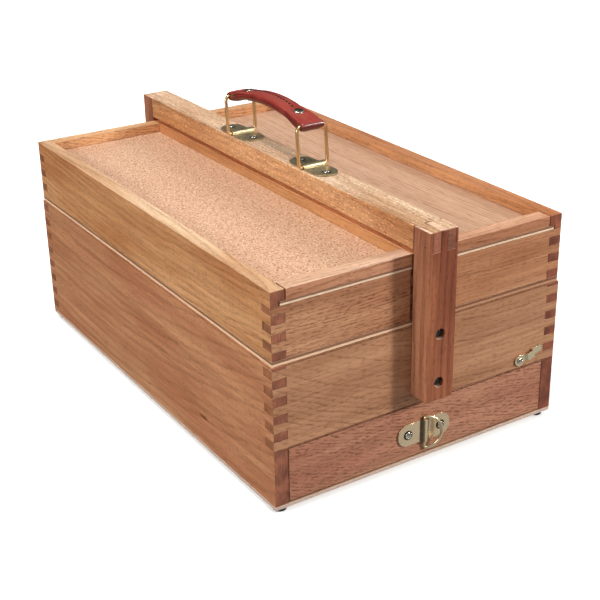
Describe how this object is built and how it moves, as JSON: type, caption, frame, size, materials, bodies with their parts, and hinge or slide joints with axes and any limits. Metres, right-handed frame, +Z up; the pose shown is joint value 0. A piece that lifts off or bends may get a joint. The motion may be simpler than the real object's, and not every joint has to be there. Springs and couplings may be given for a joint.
{
  "type": "artist tool box",
  "caption": "Low wooden artist's tool box: finger-jointed case, lidded trays that slide apart, a drawer with a ring pull and a turn button, and a carrying bar with a leather grip.",
  "frame": {"origin": "on the floor, under the middle of the box", "axes": "+X to the right seen from the drawer's face, +Y from the drawer's face to the back, +Z up"},
  "size_m": [0.2816, 0.4806, 0.262],
  "materials": {
    "beech_frame": "oiled reddish beech, satin",
    "beech_case": "oiled beech, satin",
    "beech_side": "oiled reddish beech, satin",
    "beech_tray": "oiled golden beech, satin",
    "beech_drawer": "oiled beech with dark flecks, satin",
    "plywood": "thin beech-faced plywood, satin",
    "inner_wood": "plain sanded wood",
    "rubber": "near-black rubber",
    "brass": "polished brass",
    "antique_brass": "darkened antique brass",
    "dark_steel": "blackened steel",
    "steel": "plain bright steel",
    "leather": "glossy oxblood leather"
  },
  "bodies": {
    "case": {"side_board_left": "beech_side", "side_board_right": "beech_side", "front_board": "beech_case", "back_board": "beech_case", "base_panel": "plywood", "compartment_floor": "inner_wood", "foot_front_left": "rubber", "foot_back_left": "rubber", "foot_front_right": "rubber", "foot_back_right": "rubber", "carry_bar": "beech_frame", "front_leg": "beech_frame", "back_leg": "beech_frame", "leg_screw_front_lower": "dark_steel", "leg_screw_front_upper": "dark_steel", "leg_screw_back_lower": "dark_steel", "leg_screw_back_upper": "dark_steel", "handle_plate_front": "antique_brass", "handle_plate_back": "antique_brass", "handle_screw_front_a": "steel", "handle_screw_front_b": "steel", "handle_screw_back_a": "steel", "handle_screw_back_b": "steel", "latch_screw": "steel"},
    "left_tray": {"tray_left_outer_wall": "beech_tray", "tray_left_inner_wall": "beech_tray", "tray_left_front_wall": "beech_tray", "tray_left_back_wall": "beech_tray", "tray_left_floor": "plywood", "tray_left_lid_ledge": "beech_tray", "tray_left_runner_front": "inner_wood", "tray_left_runner_back": "inner_wood"},
    "left_lid": {"lid_left": "plywood", "lid_left_strip": "beech_tray"},
    "right_tray": {"tray_right_outer_wall": "beech_tray", "tray_right_inner_wall": "beech_tray", "tray_right_front_wall": "beech_tray", "tray_right_back_wall": "beech_tray", "tray_right_floor": "plywood", "tray_right_lid_ledge": "beech_tray", "tray_right_runner_front": "inner_wood", "tray_right_runner_back": "inner_wood"},
    "right_lid": {"lid_right": "plywood", "lid_right_strip": "beech_tray"},
    "drawer": {"drawer_front": "beech_drawer", "drawer_side_left": "inner_wood", "drawer_side_right": "inner_wood", "drawer_back": "inner_wood", "drawer_floor": "plywood", "pull_plate": "brass", "pull_screw_left": "steel", "pull_screw_right": "steel"},
    "pull_ring": {"pull_ring": "brass"},
    "turn_button": {"turn_button": "brass"},
    "front_bail": {"front_bail": "brass"},
    "back_bail": {"back_bail": "brass"},
    "grip": {"leather_grip": "leather", "rivet_front": "antique_brass", "rivet_back": "antique_brass"}
  },
  "joints": [
    {"name": "tray_left_slide", "type": "slide", "parent": "case", "child": "left_tray", "axis": [-1, 0, 0], "range_m": [0, 0.098]},
    {"name": "tray_right_slide", "type": "slide", "parent": "case", "child": "right_tray", "axis": [1, 0, 0], "range_m": [0, 0.098]},
    {"name": "lid_left_slide", "type": "slide", "parent": "left_tray", "child": "left_lid", "axis": [0, -1, 0], "range_m": [0, 0.39]},
    {"name": "lid_right_slide", "type": "slide", "parent": "right_tray", "child": "right_lid", "axis": [0, -1, 0], "range_m": [0, 0.39]},
    {"name": "drawer_slide", "type": "slide", "parent": "case", "child": "drawer", "axis": [0, -1, 0], "range_m": [0, 0.33]},
    {"name": "pull_ring_swing", "type": "hinge", "parent": "drawer", "child": "pull_ring", "pos_m": [0.00105, -0.2219, 0.029], "axis": [0, 0, 1], "range_deg": [-146, 10]},
    {"name": "turn_button_turn", "type": "hinge", "parent": "case", "child": "turn_button", "pos_m": [0.10165, -0.2203, 0.0647], "axis": [0, 1, 0], "continuous": true},
    {"name": "front_bail_swing", "type": "hinge", "parent": "case", "child": "front_bail", "pos_m": [0, -0.0616, 0.2137], "axis": [1, 0, 0], "range_deg": [-75.5, 84.5]},
    {"name": "back_bail_swing", "type": "hinge", "parent": "case", "child": "back_bail", "pos_m": [0, 0.0592, 0.2137], "axis": [1, 0, 0], "range_deg": [-75.5, 84.5]},
    {"name": "grip_pivot", "type": "hinge", "parent": "front_bail", "child": "grip", "pos_m": [0, -0.05885, 0.24859], "axis": [1, 0, 0], "range_deg": [-84.5, 75.5]}
  ],
  "couplings": [
    {"joint": "back_bail_swing", "follows": "front_bail_swing", "ratio": 1},
    {"joint": "grip_pivot", "follows": "front_bail_swing", "ratio": -1}
  ]
}
